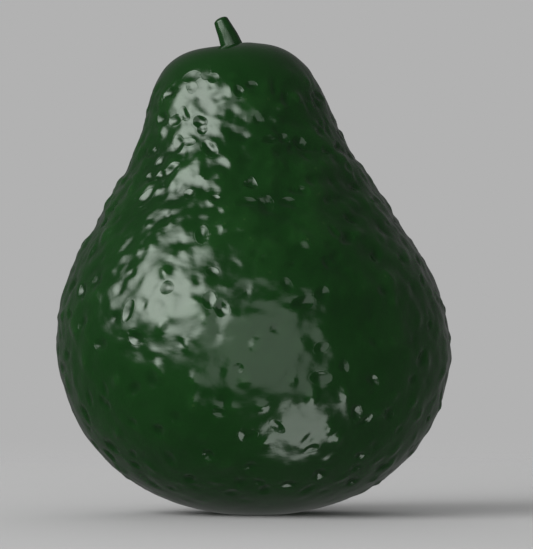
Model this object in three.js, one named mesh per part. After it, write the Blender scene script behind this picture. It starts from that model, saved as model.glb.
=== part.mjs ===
// A plump, pear-shaped avocado with a pebbled skin and the stub of its stem.
// Millimetres, +Z up. The origin is the middle of the small flat spot that it stands on.
import * as THREE from 'three';

// Fruit: a pear profile from the flat spot, round the belly, up the neck and over the crown.
const FRUIT_HEIGHT = 93.5; // flat spot to the crest of the rim round the stem
const FOOT_RADIUS = 6.5; // the small flat spot
const BELLY_RADIUS = 39.3;
const BELLY_HEIGHT = 32.8;
const NECK_RADIUS = 18;
const NECK_HEIGHT = 81.3;
const RIM_RADIUS = 4.2; // crest of the rim round the stem
const FOOT_ROUND = 25.8; // reach of the profile's curves, from one of the points above to the next
const BELLY_ROUND_BELOW = 10;
const BELLY_ROUND_ABOVE = 20.3;
const NECK_ROUND_BELOW = 20.3;
const NECK_ROUND_ABOVE = 5.5;
const CROWN_ROUND = 9.2;
const FOOT_RISE = 0.12; // slope of the profile as it leaves the flat spot
const NECK_TAPER = 0.3; // slope of the neck's side
const CROWN_LEAN = 5.7; // how far the crown's middle stands over to -X
const LEAN_POWER = 2.4; // the lean gathers in the neck
const CROWN_TILT = 0.095; // slope of the crown, down to -X
const TILT_FROM = 50; // the height where that slope begins to grow

// Stem: a short tapered stub that leans over to -X, in a socket at the bottom of the crown's hollow.
const STEM_ROOT = new THREE.Vector3(-3.6, 0, 90);
const STEM_TIP = new THREE.Vector3(-7.35, 0, 99.1);
const STEM_ROOT_TILT = THREE.MathUtils.degToRad(20); // the root is steeper than the stub above it
const STEM_TIP_TILT = THREE.MathUtils.degToRad(27);
const STEM_BEND = 3; // reach of the bend from either end
const STEM_RADIUS_ROOT = 2.45;
const STEM_RADIUS_TOP = 1.5;
const STEM_TAPER_POWER = 1.5; // the stub narrows faster towards its end
const STEM_END_ROUND = 0.8; // how far the rounded end reaches down the stem
const STEM_SIDES = 16;
const STEM_RINGS = 12;
const STEM_END_RINGS = 4;
const SOCKET_DEPTH = 2.2;
const HOLLOW_RINGS = 2; // rings between the rim's crest and the socket's mouth
const SOCKET_GAP = 0.3; // clear space between the stem's root and its socket

// Skin relief: raised pebbles and sunk dimples, fuller than life so that the facets can hold them.
const RING_STEP = 1.82;
const FACET_STEP = 2.02;
const FEWEST_FACETS = 16;
const MARK_COUNT = 1100;
const MARK_RANDOMS = 7; // how many random numbers each mark draws
const MARK_SHIFT = 2.3; // each mark's place is moved at random by up to this much
const MARK_RAISED_SHARE = 0.45;
const MARK_RADIUS = [1.5, 2.1];
const MARK_HEIGHT = [0.4, 0.7];
const MARK_STRETCH = [1, 1.8]; // how much longer than wide a mark is, along a slant of its own
const NECK_CROWDING = 2; // how many more marks stand on the neck than on the belly, by area
const NECK_CROWDING_FROM = 50;
const NECK_CROWDING_TO = 74;
const SMOOTH_FOOT = [0.8, 7]; // heights over which the relief grows from nothing
const SMOOTH_CROWN = [83, 90.5]; // heights over which it dies away
const RIM_SWELL_ANGLE = THREE.MathUtils.degToRad(-40); // where the rim's crest swells a little
const RIM_SWELL_RADIUS = 2.4;
const RIM_SWELL_HEIGHT = 0.28;
const GOLDEN_ANGLE = Math.PI * (3 - Math.sqrt(5));

// A random number from 0 to 1 that is always the same for the same whole number.
function noise(n) {
  const s = Math.sin(n * 12.9898) * 43758.5453;
  return s - Math.floor(s);
}

function between([low, high], share) {
  return low + (high - low) * share;
}

// The fruit's middle at a height, and the axis of its round section there.
function sectionAt(height) {
  const tilt = CROWN_TILT * THREE.MathUtils.smoothstep(height, TILT_FROM, FRUIT_HEIGHT);
  return {
    centre: new THREE.Vector3(-CROWN_LEAN * (height / FRUIT_HEIGHT) ** LEAN_POWER, 0, height),
    axis: new THREE.Vector3(-tilt, 0, 1).normalize(),
  };
}

// The profile as points of radius and height, from the flat spot's edge to the rim's crest.
function fruitProfile() {
  const path = new THREE.Path();
  const neckSide = new THREE.Vector2(-NECK_TAPER, 1).normalize();
  path.moveTo(FOOT_RADIUS, 0);
  path.bezierCurveTo(
    FOOT_RADIUS + FOOT_ROUND, FOOT_ROUND * FOOT_RISE,
    BELLY_RADIUS, BELLY_HEIGHT - BELLY_ROUND_BELOW,
    BELLY_RADIUS, BELLY_HEIGHT,
  );
  path.bezierCurveTo(
    BELLY_RADIUS, BELLY_HEIGHT + BELLY_ROUND_ABOVE,
    NECK_RADIUS - neckSide.x * NECK_ROUND_BELOW, NECK_HEIGHT - neckSide.y * NECK_ROUND_BELOW,
    NECK_RADIUS, NECK_HEIGHT,
  );
  path.bezierCurveTo(
    NECK_RADIUS + neckSide.x * NECK_ROUND_ABOVE, NECK_HEIGHT + neckSide.y * NECK_ROUND_ABOVE,
    RIM_RADIUS + CROWN_ROUND, FRUIT_HEIGHT,
    RIM_RADIUS, FRUIT_HEIGHT,
  );
  return path.getSpacedPoints(Math.round(path.getLength() / RING_STEP));
}

// The direction that points away from an axis at an angle counted from +X towards +Y.
function away(axis, angle) {
  const across = new THREE.Vector3(0, 1, 0);
  const side = new THREE.Vector3().crossVectors(across, axis).normalize();
  return side.multiplyScalar(Math.cos(angle)).addScaledVector(across, Math.sin(angle));
}

// A ring of points round an axis.
function ring({ centre, axis }, radius, count, turn = 0) {
  return Array.from({ length: count }, (_, i) => (
    centre.clone().addScaledVector(away(axis, ((i + turn) / count) * 2 * Math.PI), radius)
  ));
}

// A closed surface through rings of any size, which may begin and end with a single point.
function skinOver(rings) {
  const positions = [];
  const firsts = rings.map((points) => {
    const first = positions.length / 3;
    for (const p of points) positions.push(p.x, p.y, p.z);
    return first;
  });
  const faces = [];
  for (let k = 0; k + 1 < rings.length; k++) {
    const [n, m] = [rings[k].length, rings[k + 1].length];
    const low = (i) => firsts[k] + (i % n);
    const high = (j) => firsts[k + 1] + (j % m);
    const lowEdges = n > 1 ? n : 0;
    const highEdges = m > 1 ? m : 0;
    let [i, j] = [0, 0];
    while (i < lowEdges || j < highEdges) {
      if (j === highEdges || (i < lowEdges && (i + 1) / n <= (j + 1) / m)) {
        faces.push(low(i), low(i + 1), high(j));
        i++;
      } else {
        faces.push(low(i), high(j + 1), high(j));
        j++;
      }
    }
  }
  const geometry = new THREE.BufferGeometry();
  geometry.setAttribute('position', new THREE.Float32BufferAttribute(positions, 3));
  geometry.setIndex(faces);
  geometry.computeVertexNormals();
  return geometry;
}

// The marks on the smooth fruit, spread by area along a golden-angle spiral and then shifted at random.
function skinMarks(profile) {
  const areas = [0];
  for (let k = 1; k < profile.length; k++) {
    const [a, b] = [profile[k - 1], profile[k]];
    const height = (a.y + b.y) / 2;
    const crowding = 1 + NECK_CROWDING
      * THREE.MathUtils.smoothstep(height, NECK_CROWDING_FROM, NECK_CROWDING_TO);
    areas.push(areas[k - 1] + crowding * a.distanceTo(b) * (a.x + b.x));
  }
  const marks = [];
  let k = 1;
  for (let i = 0; i < MARK_COUNT; i++) {
    const random = (draw) => noise(MARK_RANDOMS * i + draw);
    const area = ((i + 0.5) / MARK_COUNT) * areas[areas.length - 1];
    while (areas[k] < area) k++;
    const along = (area - areas[k - 1]) / (areas[k] - areas[k - 1]);
    const spot = profile[k - 1].clone().lerp(profile[k], along);
    const tangent = profile[k].clone().sub(profile[k - 1]).normalize();
    spot.addScaledVector(tangent, MARK_SHIFT * (2 * random(0) - 1));
    const angle = i * GOLDEN_ANGLE + (MARK_SHIFT / spot.x) * (2 * random(1) - 1);
    const fade = THREE.MathUtils.smoothstep(spot.y, ...SMOOTH_FOOT)
      * (1 - THREE.MathUtils.smoothstep(spot.y, ...SMOOTH_CROWN));
    const { centre, axis } = sectionAt(spot.y);
    const outward = away(axis, angle);
    const slant = Math.PI * random(5);
    const rising = outward.clone().multiplyScalar(tangent.x).addScaledVector(axis, tangent.y);
    marks.push({
      place: centre.addScaledVector(outward, spot.x),
      direction: axis.clone().cross(outward).multiplyScalar(Math.cos(slant))
        .addScaledVector(rising, Math.sin(slant)),
      stretch: between(MARK_STRETCH, random(6)),
      raised: random(2) < MARK_RAISED_SHARE,
      radius: between(MARK_RADIUS, random(3)),
      height: fade * between(MARK_HEIGHT, random(4)),
    });
  }
  return marks.filter((mark) => mark.height !== 0);
}

// The low swelling of the rim's crest, in front of the stem and to its right.
function rimSwell() {
  const { centre, axis } = sectionAt(FRUIT_HEIGHT);
  return {
    place: centre.addScaledVector(away(axis, RIM_SWELL_ANGLE), RIM_RADIUS),
    direction: axis,
    stretch: 1,
    raised: true,
    radius: RIM_SWELL_RADIUS,
    height: RIM_SWELL_HEIGHT,
  };
}

// How far the marks raise or sink the skin at a point.
function relief(point, marks) {
  let [raised, sunk] = [0, 0];
  for (const mark of marks) {
    const offset = point.clone().sub(mark.place);
    const along = offset.dot(mark.direction);
    const squeezed = offset.lengthSq() - (1 - 1 / mark.stretch ** 2) * along ** 2;
    const height = mark.height * Math.exp(-squeezed / mark.radius ** 2);
    if (mark.raised) raised = Math.max(raised, height);
    else sunk = Math.max(sunk, height);
  }
  return raised - sunk;
}

// A direction that is tilted from upright towards -X.
function tilted(angle) {
  return new THREE.Vector3(-Math.sin(angle), 0, Math.cos(angle));
}

const stemAxis = new THREE.CubicBezierCurve3(
  STEM_ROOT,
  STEM_ROOT.clone().addScaledVector(tilted(STEM_ROOT_TILT), STEM_BEND),
  STEM_TIP.clone().addScaledVector(tilted(STEM_TIP_TILT), -STEM_BEND),
  STEM_TIP,
);

// The rings of the outer skin, from the flat spot's edge to the rim's crest.
function skinRings() {
  const profile = fruitProfile();
  const marks = [...skinMarks(profile), rimSwell()];
  return profile.map((spot, k) => {
    const [before, after] = [profile[Math.max(k - 1, 0)], profile[Math.min(k + 1, profile.length - 1)]];
    const tangent = after.clone().sub(before).normalize();
    const section = sectionAt(spot.y);
    const count = Math.max(FEWEST_FACETS, Math.round((2 * Math.PI * spot.x) / FACET_STEP));
    const points = ring(section, spot.x, count, (k % 2) / 2);
    for (const point of points) {
      const outward = point.clone().sub(section.centre).normalize().multiplyScalar(tangent.y)
        .addScaledVector(section.axis, -tangent.x);
      point.addScaledVector(outward, relief(point, marks));
    }
    return points;
  });
}

// The rings of the hollow in the crown and of the stem's socket at its bottom.
function hollowRings() {
  const rim = sectionAt(FRUIT_HEIGHT);
  const axis = stemAxis.getTangentAt(0);
  const floor = { centre: STEM_ROOT.clone().addScaledVector(axis, -SOCKET_GAP), axis };
  const mouth = { centre: STEM_ROOT.clone().addScaledVector(axis, SOCKET_DEPTH), axis };
  const radius = STEM_RADIUS_ROOT + SOCKET_GAP;
  const rings = [];
  for (let k = 1; k <= HOLLOW_RINGS; k++) {
    const inward = k / (HOLLOW_RINGS + 1);
    const section = {
      centre: rim.centre.clone().lerp(mouth.centre, inward),
      axis: rim.axis.clone().lerp(axis, inward).normalize(),
    };
    section.centre.z = THREE.MathUtils.lerp(rim.centre.z, mouth.centre.z, inward ** 2);
    rings.push(ring(section, THREE.MathUtils.lerp(RIM_RADIUS, radius, inward), STEM_SIDES));
  }
  rings.push(ring(mouth, radius, STEM_SIDES), ring(floor, radius, STEM_SIDES), [floor.centre]);
  return rings;
}

function fruitGeometry() {
  const foot = new THREE.Vector3(0, 0, 0);
  return skinOver([[foot], ...skinRings(), ...hollowRings()]);
}

function stemGeometry() {
  const shoulder = 1 - STEM_END_ROUND / stemAxis.getLength();
  const ringAt = (along, radius) => ring(
    { centre: stemAxis.getPointAt(along), axis: stemAxis.getTangentAt(along) }, radius, STEM_SIDES,
  );
  const rings = [[STEM_ROOT]];
  for (let k = 0; k <= STEM_RINGS; k++) {
    const share = k / STEM_RINGS;
    const radius = between([STEM_RADIUS_ROOT, STEM_RADIUS_TOP], share ** STEM_TAPER_POWER);
    rings.push(ringAt(share * shoulder, radius));
  }
  for (let k = 1; k < STEM_END_RINGS; k++) {
    const angle = (k / STEM_END_RINGS) * (Math.PI / 2);
    const along = between([shoulder, 1], Math.sin(angle));
    rings.push(ringAt(along, STEM_RADIUS_TOP * Math.cos(angle)));
  }
  rings.push([STEM_TIP]);
  return skinOver(rings);
}

const skin = new THREE.MeshStandardMaterial({ color: 0x1f4a20, roughness: 0.3, metalness: 0 });
const stalk = new THREE.MeshStandardMaterial({ color: 0x234d24, roughness: 0.4, metalness: 0 });

const fruit = new THREE.Mesh(fruitGeometry(), skin);
fruit.name = 'fruit';
const stem = new THREE.Mesh(stemGeometry(), stalk);
stem.name = 'stem';

const avocado = new THREE.Group();
avocado.add(fruit, stem);

export default avocado;
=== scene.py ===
from math import cos, exp, floor, pi, radians, sin, sqrt, tan

import bpy
import numpy as np
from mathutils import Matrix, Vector, kdtree
from mathutils import noise as clouds


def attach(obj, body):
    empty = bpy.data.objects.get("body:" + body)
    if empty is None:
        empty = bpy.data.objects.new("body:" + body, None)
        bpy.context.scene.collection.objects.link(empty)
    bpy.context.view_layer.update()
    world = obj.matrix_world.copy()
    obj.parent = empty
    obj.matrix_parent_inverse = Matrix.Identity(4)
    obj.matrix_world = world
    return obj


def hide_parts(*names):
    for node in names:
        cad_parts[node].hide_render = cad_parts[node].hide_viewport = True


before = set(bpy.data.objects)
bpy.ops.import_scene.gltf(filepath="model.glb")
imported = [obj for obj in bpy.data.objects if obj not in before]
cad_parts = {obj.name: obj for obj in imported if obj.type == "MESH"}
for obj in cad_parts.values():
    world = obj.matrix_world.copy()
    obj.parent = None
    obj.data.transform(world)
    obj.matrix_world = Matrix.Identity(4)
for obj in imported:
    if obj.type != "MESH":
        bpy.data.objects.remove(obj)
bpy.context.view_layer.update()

# The camera looks level along +Y, as the photograph does, through a long lens that keeps perspective
# small. Two pixels of the photograph set its aim: the middle of the picture and the foot of the fruit.
MM = 0.001
PICTURE_WIDTH, PICTURE_HEIGHT = 533, 549
PIXELS_PER_METRE = 5000
FOOT_PIXEL = (256.2, 513.5)
CAMERA_DISTANCE = 1.2
aim = Vector((
    (PICTURE_WIDTH / 2 - FOOT_PIXEL[0]) / PIXELS_PER_METRE,
    0,
    (FOOT_PIXEL[1] - PICTURE_HEIGHT / 2) / PIXELS_PER_METRE,
))
camera_data = bpy.data.cameras.new("camera")
camera_data.lens = camera_data.sensor_width * CAMERA_DISTANCE * PIXELS_PER_METRE / PICTURE_HEIGHT
camera = bpy.data.objects.new("camera", camera_data)
camera.location = aim - Vector((0, CAMERA_DISTANCE, 0))
camera.rotation_euler = (pi / 2, 0, 0)
bpy.context.scene.collection.objects.link(camera)
bpy.context.scene.camera = camera

# The fruit, one body that grew as one. Its skin is thin, tough and glossy, with sunk pits and raised
# pebbles that crowd together on the neck and die away on the crown and round the small flat foot. The
# crown has a shallow hollow, and in it a socket that the root of the stem stands in.
FRUIT_HEIGHT = 93.5 * MM
FOOT_RADIUS = 6.5 * MM
FOOT_ROUND = 25.8 * MM
FOOT_RISE = 0.12
BELLY_RADIUS = 39.3 * MM
BELLY_HEIGHT = 32.8 * MM
BELLY_ROUND_BELOW = 10 * MM
BELLY_ROUND_ABOVE = 20.3 * MM
NECK_RADIUS = 18 * MM
NECK_HEIGHT = 81.3 * MM
NECK_ROUND_BELOW = 20.3 * MM
NECK_ROUND_ABOVE = 5.5 * MM
NECK_TAPER = 0.3
RIM_RADIUS = 4.2 * MM
CROWN_ROUND = 9.2 * MM
CROWN_LEAN = 5.7 * MM
LEAN_POWER = 2.4
CROWN_TILT = 0.095
TILT_FROM = 50 * MM

STEM_ROOT = Vector((-3.6, 0, 90)) * MM
STEM_ROOT_TILT = radians(20)
STEM_RADIUS_ROOT = 2.45 * MM
SOCKET_DEPTH = 2.2 * MM
SOCKET_GAP = 0.3 * MM
SOCKET_SIDES = 48
HOLLOW_RINGS = 12
HOLLOW_POWER = 2

SKIN_FACET = 0.48 * MM
FEWEST_FACETS = 16
BEZIER_STEPS = 400


def smooth_step(value, low, high):
    t = np.clip((value - low) / (high - low), 0, 1)
    return t * t * (3 - 2 * t)


def bezier(a, b, c, d):
    """A cubic curve as points of radius and height."""
    t = np.linspace(0, 1, BEZIER_STEPS)[:, None]
    a, b, c, d = (np.array(p) for p in (a, b, c, d))
    return a * (1 - t) ** 3 + 3 * b * t * (1 - t) ** 2 + 3 * c * t**2 * (1 - t) + d * t**3


def fruit_profile(step):
    """Evenly spaced points of radius and height, from the foot's edge to the crest of the rim."""
    side = np.array((-NECK_TAPER, 1)) / sqrt(1 + NECK_TAPER**2)
    neck = np.array((NECK_RADIUS, NECK_HEIGHT))
    curve = np.vstack((
        bezier(
            (FOOT_RADIUS, 0), (FOOT_RADIUS + FOOT_ROUND, FOOT_ROUND * FOOT_RISE),
            (BELLY_RADIUS, BELLY_HEIGHT - BELLY_ROUND_BELOW), (BELLY_RADIUS, BELLY_HEIGHT),
        ),
        bezier(
            (BELLY_RADIUS, BELLY_HEIGHT), (BELLY_RADIUS, BELLY_HEIGHT + BELLY_ROUND_ABOVE),
            neck - side * NECK_ROUND_BELOW, neck,
        )[1:],
        bezier(
            neck, neck + side * NECK_ROUND_ABOVE,
            (RIM_RADIUS + CROWN_ROUND, FRUIT_HEIGHT), (RIM_RADIUS, FRUIT_HEIGHT),
        )[1:],
    ))
    along = np.concatenate(((0,), np.cumsum(np.hypot(*np.diff(curve, axis=0).T))))
    even = np.linspace(0, along[-1], round(along[-1] / step) + 1)
    return np.column_stack([np.interp(even, along, curve[:, k]) for k in (0, 1)])


def section_at(height):
    """The middle of the fruit's round section at a height, and the axis of that section."""
    tilt = CROWN_TILT * float(smooth_step(height, TILT_FROM, FRUIT_HEIGHT))
    centre = Vector((-CROWN_LEAN * (height / FRUIT_HEIGHT) ** LEAN_POWER, 0, height))
    return centre, Vector((-tilt, 0, 1)).normalized()


def away(axis, angle):
    """The direction that points away from an axis at an angle counted from +X towards +Y."""
    across = Vector((0, 1, 0))
    return across.cross(axis).normalized() * cos(angle) + across * sin(angle)


def ring(section, radius, count, turn=0.0):
    """Points round a section, turned by a share of the gap between two of them."""
    centre, axis = section
    return [centre + away(axis, (i + turn) / count * 2 * pi) * radius for i in range(count)]


def skin_over(name, rings):
    """A closed mesh through rings of any size, which may begin and end with a single point."""
    points = [point for points in rings for point in points]
    faces, first = [], 0
    for lower, upper in zip(rings, rings[1:]):
        n, m = len(lower), len(upper)
        second = first + n
        lower_edges, upper_edges = (n if n > 1 else 0), (m if m > 1 else 0)
        i = j = 0
        while i < lower_edges or j < upper_edges:
            if j == upper_edges or (i < lower_edges and (i + 1) / n <= (j + 1) / m):
                faces.append((first + i % n, first + (i + 1) % n, second + j % m))
                i += 1
            else:
                faces.append((first + i % n, second + (j + 1) % m, second + j % m))
                j += 1
        first = second
    mesh = bpy.data.meshes.new(name)
    mesh.from_pydata(points, [], faces)
    mesh.shade_smooth()
    return mesh


# The marks on the skin: where they are, how large, and which of them stand out. A pit's depth is a share
# of its radius, and its crispness is how far its wall is clear-cut and not washed out.
GOLDEN_ANGLE = pi * (3 - sqrt(5))
MARK_COUNT = 1100
MARK_RANDOMS = 7
HASH_STEP, HASH_GAIN = 12.9898, 43758.5453
MARK_SHIFT = 2.3 * MM
MARK_RAISED_SHARE = 0.45
NECK_CROWDING = 2
NECK_CROWDING_FROM, NECK_CROWDING_TO = 50 * MM, 74 * MM
SMOOTH_FOOT = (0.8 * MM, 7 * MM)
SMOOTH_CROWN = (83 * MM, 90.5 * MM)
PEBBLE_RADIUS = (0.8 * MM, 1.35 * MM)
PEBBLE_HEIGHT = (0.12 * MM, 0.45 * MM)
PIT_RADIUS = (0.95 * MM, 1.5 * MM)
PIT_DEEP_SHARE = 0.62
PIT_SHALLOW_DEPTH = (0.1, 0.28)
PIT_DEEP_DEPTH = (0.27, 0.5)
PIT_CRISPNESS = (0.45, 0.9)
PIT_BOTTOM_ROUND = 1.6
PIT_WALL_POWER = 1.8
MARK_STRETCH = (1, 1.8)
MARK_SHRINK = 0.1
MARK_RAGGED = (2.6 * MM, 0.35 * MM)
MARK_RAGGED_SEED = 7
MARK_REACH = 2.6
RIM_SWELL_ANGLE = radians(-40)
RIM_SWELL_RADIUS = 2.4 * MM
RIM_SWELL_HEIGHT = 0.28 * MM
FAR_FROM_PITS = 2.0

# Low waves between the marks, as the length and the height of each. They grow from the foot to the neck.
WAVES = (
    (7.5 * MM, 0.36 * MM),
    (3.2 * MM, 0.2 * MM),
    (1.5 * MM, 0.055 * MM),
)
WAVES_GROW_FROM, WAVES_GROW_TO = 22 * MM, 62 * MM
WAVES_GAIN = (0.65, 1.55)


def noise(n):
    """A number from 0 to 1 that is always the same for the same n."""
    s = sin(n * HASH_STEP) * HASH_GAIN
    return s - floor(s)


def between(limits, share):
    """The value at a share of the way from the lower limit to the upper one."""
    return limits[0] + (limits[1] - limits[0]) * share


def relief_share(height):
    """How much of the relief is left at a height: none on the foot and on the crown."""
    return smooth_step(height, *SMOOTH_FOOT) * (1 - smooth_step(height, *SMOOTH_CROWN))


def skin_marks(profile):
    """The marks, spread by area along a golden-angle spiral and then shifted at random."""
    lower, upper = profile[:-1], profile[1:]
    crowding = 1 + NECK_CROWDING * smooth_step(
        (lower[:, 1] + upper[:, 1]) / 2, NECK_CROWDING_FROM, NECK_CROWDING_TO
    )
    bands = crowding * np.hypot(*(upper - lower).T) * (lower[:, 0] + upper[:, 0])
    areas = np.concatenate(((0,), np.cumsum(bands)))
    for i in range(MARK_COUNT):
        area = (i + 0.5) / MARK_COUNT * areas[-1]
        shift_up, shift_round, kind, size, depth, turn, stretch = (
            noise(MARK_RANDOMS * i + draw) for draw in range(MARK_RANDOMS)
        )
        band = int(np.searchsorted(areas, area)) - 1
        step = upper[band] - lower[band]
        tangent = step / np.hypot(*step)
        spot = lower[band] + step * (area - areas[band]) / bands[band]
        spot = spot + tangent * MARK_SHIFT * (2 * shift_up - 1)
        angle = i * GOLDEN_ANGLE + MARK_SHIFT / spot[0] * (2 * shift_round - 1)
        shown = relief_share(spot[1])
        if shown == 0:
            continue
        centre, axis = section_at(spot[1])
        outward = away(axis, angle)
        slant = pi * turn
        rising = outward * tangent[0] + axis * tangent[1]
        raised = kind < MARK_RAISED_SHARE
        crispness = 0
        if raised:
            radius = between(PEBBLE_RADIUS, size)
            height = between(PEBBLE_HEIGHT, depth)
        elif depth < PIT_DEEP_SHARE:
            share = depth / PIT_DEEP_SHARE
            radius = between(PIT_RADIUS, size)
            height = radius * between(PIT_DEEP_DEPTH, share)
            crispness = between(PIT_CRISPNESS, share)
        else:
            share = (depth - PIT_DEEP_SHARE) / (1 - PIT_DEEP_SHARE)
            radius = between(PIT_RADIUS, size)
            height = radius * between(PIT_SHALLOW_DEPTH, share)
        yield {
            "place": centre + outward * spot[0],
            "direction": axis.cross(outward) * cos(slant) + rising * sin(slant),
            "stretch": between(MARK_STRETCH, stretch),
            "raised": raised,
            "radius": radius / crowding[band] ** MARK_SHRINK,
            "crispness": crispness,
            "height": shown * height,
        }


def rim_swell():
    """The crest of the rim swells a little in front of the stem, to its right."""
    centre, axis = section_at(FRUIT_HEIGHT)
    outward = away(axis, RIM_SWELL_ANGLE)
    return {
        "place": centre + outward * RIM_RADIUS,
        "direction": axis,
        "stretch": 1,
        "raised": True,
        "radius": RIM_SWELL_RADIUS,
        "height": RIM_SWELL_HEIGHT,
    }


profile = fruit_profile(SKIN_FACET)
tangents = np.gradient(profile, axis=0)
tangents /= np.hypot(*tangents.T)[:, None]
rings = [[Vector((0, 0, 0))]]
outward = []
for k, (radius, height) in enumerate(profile):
    section = section_at(height)
    facets = max(FEWEST_FACETS, round(2 * pi * radius / SKIN_FACET))
    points = ring(section, radius, facets, (k % 2) / 2)
    rings.append(points)
    outward += [
        (p - section[0]).normalized() * tangents[k][1] - section[1] * tangents[k][0] for p in points
    ]

# A point stands as high as the highest pebble over it and as low as the deepest pit. The marks are drawn
# on places that are shifted a little, so that their edges are ragged and not round.
skin_points = [p for points in rings[1:] for p in points]
tree = kdtree.KDTree(len(skin_points))
for index, point in enumerate(skin_points):
    tree.insert(point, index)
tree.balance()
heights = np.array(skin_points)[:, 2]
ragged, by = MARK_RAGGED
clouds.seed_set(MARK_RAGGED_SEED)
drawn_points = np.array([point + clouds.noise_vector(point / ragged) * by for point in skin_points])
raised, sunk = np.zeros((2, len(skin_points)))
from_pit = np.full(len(skin_points), FAR_FROM_PITS)
for mark in (*skin_marks(profile), rim_swell()):
    found = tree.find_range(mark["place"], mark["radius"] * mark["stretch"] * MARK_REACH)
    near = [index for _, index, _ in found]
    offset = drawn_points[near] - np.array(mark["place"])
    along = offset @ np.array(mark["direction"])
    squeezed = (offset**2).sum(axis=1) - (1 - 1 / mark["stretch"] ** 2) * along**2
    far = np.sqrt(np.maximum(squeezed, 0)) / mark["radius"]
    if mark["raised"]:
        raised[near] = np.maximum(raised[near], mark["height"] * np.exp(-(far**2)))
    else:
        crispness = mark["crispness"]
        crisp = np.clip(1 - far**PIT_WALL_POWER, 0, 1)
        washed = np.exp(-((far * PIT_BOTTOM_ROUND) ** 2))
        bowl = crispness * crisp + (1 - crispness) * washed
        sunk[near] = np.maximum(sunk[near], mark["height"] * bowl)
        if crispness:
            from_pit[near] = np.minimum(from_pit[near], far)
relief = raised - sunk
growth = between(WAVES_GAIN, smooth_step(heights, WAVES_GROW_FROM, WAVES_GROW_TO))
wave_share = relief_share(heights) * growth
for length, height in WAVES:
    waves = [clouds.noise(point / length) for point in skin_points]
    relief += height * wave_share * np.array(waves)
for point, direction, rise in zip(skin_points, outward, relief):
    point += direction * float(rise)


def tilted(angle):
    """The upward direction, leaned by an angle towards -X."""
    return Vector((-sin(angle), 0, cos(angle)))


# The skin runs on over the rim, down the hollow and round the inside of the socket.
rim = section_at(FRUIT_HEIGHT)
root_axis = tilted(STEM_ROOT_TILT)
mouth = (STEM_ROOT + root_axis * SOCKET_DEPTH, root_axis)
socket_floor = (STEM_ROOT - root_axis * SOCKET_GAP, root_axis)
socket_radius = STEM_RADIUS_ROOT + SOCKET_GAP
for k in range(1, HOLLOW_RINGS + 1):
    inward = k / (HOLLOW_RINGS + 1)
    centre = rim[0].lerp(mouth[0], inward)
    centre.z = rim[0].z + (mouth[0].z - rim[0].z) * inward**HOLLOW_POWER
    axis = rim[1].lerp(mouth[1], inward).normalized()
    radius = RIM_RADIUS + (socket_radius - RIM_RADIUS) * inward
    rings.append(ring((centre, axis), radius, SOCKET_SIDES))
rings.append(ring(mouth, socket_radius, SOCKET_SIDES))
rings.append(ring(socket_floor, socket_radius, SOCKET_SIDES))
rings.append([socket_floor[0]])

fruit = bpy.data.objects.new("fruit_skin", skin_over("fruit_skin", rings))
bpy.context.scene.collection.objects.link(fruit)
for name, values, elsewhere in (
    ("relief", relief / PEBBLE_HEIGHT[1], 0.0),
    ("from_pit", from_pit, FAR_FROM_PITS),
):
    stored = np.full(len(fruit.data.vertices), elsewhere)
    stored[1:len(values) + 1] = values
    fruit.data.attributes.new(name, "FLOAT", "POINT").data.foreach_set("value", stored)

# Fresh plant tissue, on the skin and on the stem: patches of two greens, a fine grain that catches the
# light, and a dullness that comes and goes.
tissue = bpy.data.node_groups.new("fresh_tissue", "ShaderNodeTree")
for name, kind in (
    ("Place", "NodeSocketVector"),
    ("Patch Scale", "NodeSocketFloat"),
    ("Grain Scale", "NodeSocketFloat"),
    ("Deep Green", "NodeSocketColor"),
    ("Light Green", "NodeSocketColor"),
    ("Gloss Roughness", "NodeSocketFloat"),
    ("Dull Roughness", "NodeSocketFloat"),
):
    tissue.interface.new_socket(name, in_out="INPUT", socket_type=kind)
for name, kind in (
    ("Color", "NodeSocketColor"),
    ("Roughness", "NodeSocketFloat"),
    ("Grain", "NodeSocketFloat"),
):
    tissue.interface.new_socket(name, in_out="OUTPUT", socket_type=kind)
PATCH_DETAIL = 5
PATCH_CONTRAST = (0.3, 0.7)
BLOOM_SHARE = 0.4
GRAIN_DETAIL = 2
nodes, links = tissue.nodes, tissue.links
given, made = nodes.new("NodeGroupInput"), nodes.new("NodeGroupOutput")
patches = nodes.new("ShaderNodeTexNoise")
patches.inputs["Detail"].default_value = PATCH_DETAIL
links.new(given.outputs["Place"], patches.inputs["Vector"])
links.new(given.outputs["Patch Scale"], patches.inputs["Scale"])
contrast = nodes.new("ShaderNodeMapRange")
contrast.inputs["From Min"].default_value, contrast.inputs["From Max"].default_value = PATCH_CONTRAST
links.new(patches.outputs["Fac"], contrast.inputs["Value"])
greens = nodes.new("ShaderNodeMix")
greens.data_type = "RGBA"
links.new(contrast.outputs["Result"], greens.inputs["Factor"])
links.new(given.outputs["Deep Green"], greens.inputs["A"])
links.new(given.outputs["Light Green"], greens.inputs["B"])
links.new(greens.outputs["Result"], made.inputs["Color"])
bloom_scale = nodes.new("ShaderNodeMath")
bloom_scale.operation = "MULTIPLY"
bloom_scale.inputs[1].default_value = BLOOM_SHARE
links.new(given.outputs["Patch Scale"], bloom_scale.inputs[0])
bloom = nodes.new("ShaderNodeTexNoise")
links.new(given.outputs["Place"], bloom.inputs["Vector"])
links.new(bloom_scale.outputs["Value"], bloom.inputs["Scale"])
dullness = nodes.new("ShaderNodeMapRange")
dullness.inputs["From Min"].default_value, dullness.inputs["From Max"].default_value = PATCH_CONTRAST
links.new(bloom.outputs["Fac"], dullness.inputs["Value"])
links.new(given.outputs["Gloss Roughness"], dullness.inputs["To Min"])
links.new(given.outputs["Dull Roughness"], dullness.inputs["To Max"])
links.new(dullness.outputs["Result"], made.inputs["Roughness"])
grain = nodes.new("ShaderNodeTexNoise")
grain.inputs["Detail"].default_value = GRAIN_DETAIL
links.new(given.outputs["Place"], grain.inputs["Vector"])
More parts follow.
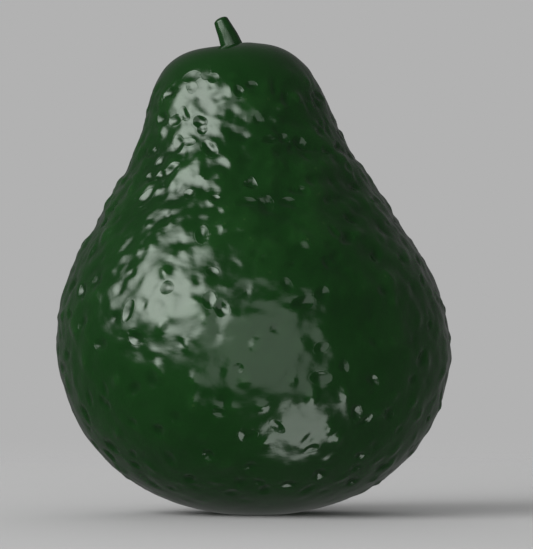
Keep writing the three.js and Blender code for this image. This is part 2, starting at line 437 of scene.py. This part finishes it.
links.new(given.outputs["Grain Scale"], grain.inputs["Scale"])
links.new(grain.outputs["Fac"], made.inputs["Grain"])

# The skin's finish: a deep waxy green, with painted shade darkening it down in the pits and painted light
# lightening it on the pebbles, whose tops carry tiny pale corky specks. A faint lip runs round each crisp
# pit.
SKIN_DEEP = (0.0018, 0.0183, 0.0018, 1)
SKIN_LIGHT = (0.0032, 0.0228, 0.0031, 1)
# Painted shade: the green that the deepest pits are darkened towards.
SKIN_PIT_SHADE = (0.0019, 0.016, 0.002, 1)
# Painted light: the green that the highest pebbles are lightened towards.
SKIN_PEBBLE_LIGHT = (0.004, 0.0262, 0.0037, 1)
SKIN_SPECK = (0.03, 0.06, 0.018, 1)
SKIN_PATCH_SCALE, SKIN_GRAIN_SCALE = 110, 1500
SKIN_ROUGHNESS = (0.12, 0.18)
SKIN_GRAIN_DEPTH = 0.012 * MM
PIT_SHADE_DEPTHS = (0.05, -0.9)
PEBBLE_LIGHT_HEIGHTS = (0.1, 0.9)
SPECK_SCALE = 420
SPECK_SIZE = (0.1, 0.17)
SPECK_STRENGTH = 0.18
GLOSS_TINT = (0.9, 1, 0.91, 1)
LIP_PLACE, LIP_WIDTH = 1.02, 0.17
LIP_HEIGHT = 0.02 * MM
skin = bpy.data.materials.new("skin")
skin.use_nodes = True
nodes, links = skin.node_tree.nodes, skin.node_tree.links
shader = nodes["Principled BSDF"]
shader.inputs["Specular Tint"].default_value = GLOSS_TINT
place = nodes.new("ShaderNodeTexCoord")
flesh = nodes.new("ShaderNodeGroup")
flesh.node_tree = tissue
links.new(place.outputs["Object"], flesh.inputs["Place"])
flesh.inputs["Patch Scale"].default_value = SKIN_PATCH_SCALE
flesh.inputs["Grain Scale"].default_value = SKIN_GRAIN_SCALE
flesh.inputs["Deep Green"].default_value = SKIN_DEEP
flesh.inputs["Light Green"].default_value = SKIN_LIGHT
flesh.inputs["Gloss Roughness"].default_value, flesh.inputs["Dull Roughness"].default_value = SKIN_ROUGHNESS
links.new(flesh.outputs["Roughness"], shader.inputs["Roughness"])
relief_here = nodes.new("ShaderNodeAttribute")
relief_here.attribute_name = "relief"
color = flesh.outputs["Color"]
# Painted shade in the pits and painted light on the pebbles, mixed into the colour by the relief's depth and
# height.
for painted_shading, limits in ((SKIN_PIT_SHADE, PIT_SHADE_DEPTHS), (SKIN_PEBBLE_LIGHT, PEBBLE_LIGHT_HEIGHTS)):
    share = nodes.new("ShaderNodeMapRange")
    share.interpolation_type = "SMOOTHSTEP"
    share.inputs["From Min"].default_value, share.inputs["From Max"].default_value = limits
    links.new(relief_here.outputs["Fac"], share.inputs["Value"])
    painted_shaded = nodes.new("ShaderNodeMix")
    painted_shaded.data_type = "RGBA"
    painted_shaded.inputs["B"].default_value = painted_shading
    links.new(share.outputs["Result"], painted_shaded.inputs["Factor"])
    links.new(color, painted_shaded.inputs["A"])
    color = painted_shaded.outputs["Result"]
speckle = nodes.new("ShaderNodeTexVoronoi")
speckle.inputs["Scale"].default_value = SPECK_SCALE
links.new(place.outputs["Object"], speckle.inputs["Vector"])
speck = nodes.new("ShaderNodeMapRange")
speck.inputs["From Min"].default_value, speck.inputs["From Max"].default_value = SPECK_SIZE
speck.inputs["To Min"].default_value, speck.inputs["To Max"].default_value = SPECK_STRENGTH, 0
links.new(speckle.outputs["Distance"], speck.inputs["Value"])
on_top = nodes.new("ShaderNodeMath")
on_top.operation = "MULTIPLY"
links.new(speck.outputs["Result"], on_top.inputs[0])
links.new(share.outputs["Result"], on_top.inputs[1])
specked = nodes.new("ShaderNodeMix")
specked.data_type = "RGBA"
specked.inputs["B"].default_value = SKIN_SPECK
links.new(on_top.outputs["Value"], specked.inputs["Factor"])
links.new(color, specked.inputs["A"])
links.new(specked.outputs["Result"], shader.inputs["Base Color"])
from_middle = nodes.new("ShaderNodeAttribute")
from_middle.attribute_name = "from_pit"
from_lip = nodes.new("ShaderNodeMath")
from_lip.operation = "SUBTRACT"
from_lip.inputs[1].default_value = LIP_PLACE
links.new(from_middle.outputs["Fac"], from_lip.inputs[0])
off_lip = nodes.new("ShaderNodeMath")
off_lip.operation = "ABSOLUTE"
links.new(from_lip.outputs["Value"], off_lip.inputs[0])
lip = nodes.new("ShaderNodeMapRange")
lip.interpolation_type = "SMOOTHSTEP"
lip.inputs["From Max"].default_value = LIP_WIDTH
lip.inputs["To Min"].default_value, lip.inputs["To Max"].default_value = 1, 0
links.new(off_lip.outputs["Value"], lip.inputs["Value"])
lipped = nodes.new("ShaderNodeBump")
lipped.inputs["Distance"].default_value = LIP_HEIGHT
links.new(lip.outputs["Result"], lipped.inputs["Height"])
grained = nodes.new("ShaderNodeBump")
grained.inputs["Distance"].default_value = SKIN_GRAIN_DEPTH
links.new(lipped.outputs["Normal"], grained.inputs["Normal"])
links.new(flesh.outputs["Grain"], grained.inputs["Height"])
links.new(grained.outputs["Normal"], shader.inputs["Normal"])
fruit.data.materials.append(skin)

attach(fruit, "root")
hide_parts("fruit")

# The stem, a short green stub of stalk that leans to the left, snapped off and healed to a blunt end. It
# grows out of the crown's hollow, where its root swells a little.
STEM_TIP = Vector((-7.35, 0, 99.1)) * MM
STEM_TIP_TILT = radians(27)
STEM_BEND = 3 * MM
STEM_RADIUS_TOP = 1.5 * MM
STEM_TAPER_POWER = 1.5
STEM_END_ROUND = 0.8 * MM
STEM_COLLAR = 0.26 * MM
STEM_COLLAR_AT, STEM_COLLAR_WIDTH = 0.2, 0.07
STEM_RIDGES = 9
STEM_RIDGE_HEIGHT = 0.035 * MM
STEM_WAVE = (2.2 * MM, 0.16 * MM)
STEM_RINGS = 70
STEM_SIDES = 96
STEM_END_RINGS = 12


def stem_section(along):
    """The middle of the stem and its axis, from 0 at the root to 1 at the tip."""
    t = along
    points = (
        STEM_ROOT, STEM_ROOT + tilted(STEM_ROOT_TILT) * STEM_BEND,
        STEM_TIP - tilted(STEM_TIP_TILT) * STEM_BEND, STEM_TIP,
    )
    weights = ((1 - t) ** 3, 3 * t * (1 - t) ** 2, 3 * t**2 * (1 - t), t**3)
    slopes = (-3 * (1 - t) ** 2, 3 * (1 - t) * (1 - 3 * t), 3 * t * (2 - 3 * t), 3 * t**2)
    centre = sum((p * w for p, w in zip(points, weights)), Vector())
    axis = sum((p * w for p, w in zip(points, slopes)), Vector()).normalized()
    return centre, axis


stem_length = (STEM_TIP - STEM_ROOT).length
shoulder = 1 - STEM_END_ROUND / stem_length
stem_rings = [[STEM_ROOT]]
for k in range(STEM_RINGS + 1):
    share = k / STEM_RINGS
    radius = STEM_RADIUS_ROOT + (STEM_RADIUS_TOP - STEM_RADIUS_ROOT) * share**STEM_TAPER_POWER
    radius += STEM_COLLAR * exp(-(((share - STEM_COLLAR_AT) / STEM_COLLAR_WIDTH) ** 2))
    stem_rings.append(ring(stem_section(share * shoulder), radius, STEM_SIDES))
for k in range(1, STEM_END_RINGS):
    angle = k / STEM_END_RINGS * pi / 2
    along = shoulder + (1 - shoulder) * sin(angle)
    stem_rings.append(ring(stem_section(along), STEM_RADIUS_TOP * cos(angle), STEM_SIDES))
for k, points in enumerate(stem_rings[1:], 1):
    middle = sum(points, Vector()) / STEM_SIDES
    grown = k / len(stem_rings)
    for i, point in enumerate(points):
        out = point - middle
        ridge = STEM_RIDGE_HEIGHT * cos(STEM_RIDGES * i / STEM_SIDES * 2 * pi)
        wave = grown * STEM_WAVE[1] * clouds.noise(point / STEM_WAVE[0])
        point += out / STEM_RADIUS_ROOT * (ridge + wave)
stem_rings.append([STEM_TIP])
stem = bpy.data.objects.new("stem_stub", skin_over("stem_stub", stem_rings))
bpy.context.scene.collection.objects.link(stem)

# The stem's finish: fresh green stalk with fine fibres along it, paler where its end has healed.
STALK_DEEP = (0.0012, 0.0165, 0.0014, 1)
STALK_LIGHT = (0.0035, 0.028, 0.0035, 1)
STALK_HEALED = (0.013, 0.032, 0.008, 1)
STALK_PATCH_SCALE, STALK_GRAIN_SCALE = 500, 2200
STALK_FIBRES = (1, 1, 0.12)
STALK_ROUGHNESS = (0.2, 0.3)
STALK_GRAIN_DEPTH = 0.03 * MM
stalk = bpy.data.materials.new("stalk")
stalk.use_nodes = True
nodes, links = stalk.node_tree.nodes, stalk.node_tree.links
shader = nodes["Principled BSDF"]
shader.inputs["Specular Tint"].default_value = GLOSS_TINT
place = nodes.new("ShaderNodeTexCoord")
fibres = nodes.new("ShaderNodeMapping")
fibres.inputs["Rotation"].default_value = (0, STEM_TIP_TILT, 0)
fibres.inputs["Scale"].default_value = STALK_FIBRES
links.new(place.outputs["Object"], fibres.inputs["Vector"])
flesh = nodes.new("ShaderNodeGroup")
flesh.node_tree = tissue
links.new(fibres.outputs["Vector"], flesh.inputs["Place"])
flesh.inputs["Patch Scale"].default_value = STALK_PATCH_SCALE
flesh.inputs["Grain Scale"].default_value = STALK_GRAIN_SCALE
flesh.inputs["Deep Green"].default_value = STALK_DEEP
flesh.inputs["Light Green"].default_value = STALK_LIGHT
flesh.inputs["Gloss Roughness"].default_value, flesh.inputs["Dull Roughness"].default_value = STALK_ROUGHNESS
links.new(flesh.outputs["Roughness"], shader.inputs["Roughness"])
end = nodes.new("ShaderNodeVectorMath")
end.operation = "DISTANCE"
end.inputs[1].default_value = STEM_TIP
links.new(place.outputs["Object"], end.inputs[0])
callus = nodes.new("ShaderNodeMapRange")
callus.interpolation_type = "SMOOTHSTEP"
callus.inputs["From Min"].default_value, callus.inputs["From Max"].default_value = 0, STEM_RADIUS_TOP
callus.inputs["To Min"].default_value, callus.inputs["To Max"].default_value = 1, 0
links.new(end.outputs["Value"], callus.inputs["Value"])
healed = nodes.new("ShaderNodeMix")
healed.data_type = "RGBA"
healed.inputs["B"].default_value = STALK_HEALED
links.new(callus.outputs["Result"], healed.inputs["Factor"])
links.new(flesh.outputs["Color"], healed.inputs["A"])
links.new(healed.outputs["Result"], shader.inputs["Base Color"])
grained = nodes.new("ShaderNodeBump")
grained.inputs["Distance"].default_value = STALK_GRAIN_DEPTH
links.new(flesh.outputs["Grain"], grained.inputs["Height"])
links.new(grained.outputs["Normal"], shader.inputs["Normal"])
stem.data.materials.append(stalk)
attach(stem, "root")
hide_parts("stem")

# A plain pale table top that the fruit stands on. It thins out to nothing before its edge, so that it
# runs into the even grey of the studio from every side.
FLOOR_RADIUS = 0.6
FLOOR_SOLID_TO = 0.12
FLOOR_SIDES = 96
FLOOR_GREY = 0.352
FLOOR_ROUGHNESS = 0.9
floor_mesh = bpy.data.meshes.new("floor")
floor_edge = ring((Vector(), Vector((0, 0, 1))), FLOOR_RADIUS, FLOOR_SIDES)
floor_mesh.from_pydata(floor_edge, [], [range(FLOOR_SIDES)])
floor_top = bpy.data.objects.new("floor", floor_mesh)
bpy.context.scene.collection.objects.link(floor_top)
floor_top.visible_glossy = False
floor_top.visible_shadow = False

table = bpy.data.materials.new("table_top")
table.use_nodes = True
nodes, links = table.node_tree.nodes, table.node_tree.links
shader = nodes["Principled BSDF"]
shader.inputs["Base Color"].default_value = (FLOOR_GREY, FLOOR_GREY, FLOOR_GREY, 1)
shader.inputs["Roughness"].default_value = FLOOR_ROUGHNESS
shader.inputs["Specular IOR Level"].default_value = 0
place = nodes.new("ShaderNodeTexCoord")
distance = nodes.new("ShaderNodeVectorMath")
distance.operation = "LENGTH"
thinning = nodes.new("ShaderNodeMapRange")
thinning.interpolation_type = "SMOOTHSTEP"
thinning.inputs["From Min"].default_value = FLOOR_SOLID_TO
thinning.inputs["From Max"].default_value = FLOOR_RADIUS
thinning.inputs["To Min"].default_value, thinning.inputs["To Max"].default_value = 1, 0
links.new(place.outputs["Object"], distance.inputs[0])
links.new(distance.outputs["Value"], thinning.inputs["Value"])
links.new(thinning.outputs["Result"], shader.inputs["Alpha"])
floor_mesh.materials.append(table)

# Studio light: a large soft box to the upper left, a dim panel by the camera and a low card at the
# right, which show in the gloss of the skin, and a fill behind, which stays out of the gloss.
LIGHT_DISTANCE = 1.6
LIGHT_MIDDLE = 0.5

# Azimuths count from the camera, to the right. Angles are in degrees, and a spread runs from the middle
# of the light to its edge, across and up. A soft edge is a share of the light's width.
LIGHTS = {
    "soft_box": {
        "azimuth": -54, "elevation": 26, "roll": -20, "spread": (41, 30),
        "soft_edge": 0.42, "radiance": 7.6, "in_gloss": True,
    },
    "front_panel": {
        "azimuth": 5, "elevation": -2, "roll": 0, "spread": (37, 38),
        "soft_edge": 0.2, "radiance": 1.15, "in_gloss": True,
    },
    "low_card": {
        "azimuth": 42, "elevation": -57, "roll": 0, "spread": (17, 16),
        "soft_edge": 0.12, "radiance": 3.1, "in_gloss": True,
    },
    "back_fill": {
        "azimuth": 180, "elevation": 30, "roll": 0, "spread": (34, 24),
        "soft_edge": 0.3, "radiance": 3, "in_gloss": False,
    },
}
for name, light in LIGHTS.items():
    lamp = bpy.data.lights.new(name, "AREA")
    lamp.shape = "RECTANGLE"
    lamp.size, lamp.size_y = (2 * LIGHT_DISTANCE * tan(radians(half)) for half in light["spread"])
    lamp.energy = light["radiance"] * pi * lamp.size * lamp.size_y
    panel = bpy.data.objects.new(name, lamp)
    bearing, rise = radians(light["azimuth"]), radians(light["elevation"])
    direction = Vector((cos(rise) * sin(bearing), -cos(rise) * cos(bearing), sin(rise)))
    panel.location = aim + direction * LIGHT_DISTANCE
    panel.rotation_euler = direction.to_track_quat("Z", "Y").to_euler()
    panel.rotation_euler.rotate_axis("Z", radians(light["roll"]))
    panel.visible_camera = False
    panel.visible_glossy = light["in_gloss"]
    bpy.context.scene.collection.objects.link(panel)
    lamp.use_nodes = True
    nodes, links = lamp.node_tree.nodes, lamp.node_tree.links
    across = nodes.new("ShaderNodeNewGeometry")
    sides = nodes.new("ShaderNodeSeparateXYZ")
    links.new(across.outputs["Parametric"], sides.inputs["Vector"])
    glow = None
    for side in ("X", "Y"):
        from_edge = nodes.new("ShaderNodeMath")
        from_edge.operation = "PINGPONG"
        from_edge.inputs[1].default_value = LIGHT_MIDDLE
        links.new(sides.outputs[side], from_edge.inputs[0])
        fall = nodes.new("ShaderNodeMapRange")
        fall.interpolation_type = "SMOOTHSTEP"
        fall.inputs["From Max"].default_value = light["soft_edge"]
        links.new(from_edge.outputs["Value"], fall.inputs["Value"])
        if glow:
            both = nodes.new("ShaderNodeMath")
            both.operation = "MULTIPLY"
            links.new(glow, both.inputs[0])
            links.new(fall.outputs["Result"], both.inputs[1])
            glow = both.outputs["Value"]
        else:
            glow = fall.outputs["Result"]
    links.new(glow, nodes["Emission"].inputs["Strength"])

# The studio round it, an even grey behind the fruit that is dimmer in the gloss of the skin.
ROOM_SEEN, ROOM_IN_GLOSS, ROOM_FILL = 0.445, 0.115, 0.48
world = bpy.data.worlds.new("room")
world.use_nodes = True
nodes, links = world.node_tree.nodes, world.node_tree.links
nodes.clear()
ray = nodes.new("ShaderNodeLightPath")
gloss = nodes.new("ShaderNodeMix")
gloss.inputs["A"].default_value = ROOM_FILL
gloss.inputs["B"].default_value = ROOM_IN_GLOSS
seen = nodes.new("ShaderNodeMix")
seen.inputs["B"].default_value = ROOM_SEEN
room = nodes.new("ShaderNodeBackground")
room.inputs["Color"].default_value = (1, 1, 1, 1)
output = nodes.new("ShaderNodeOutputWorld")
links.new(ray.outputs["Is Glossy Ray"], gloss.inputs["Factor"])
links.new(gloss.outputs["Result"], seen.inputs["A"])
links.new(ray.outputs["Is Camera Ray"], seen.inputs["Factor"])
links.new(seen.outputs["Result"], room.inputs["Strength"])
links.new(room.outputs["Background"], output.inputs["Surface"])
bpy.context.scene.world = world
bpy.context.scene.view_settings.view_transform = "Standard"
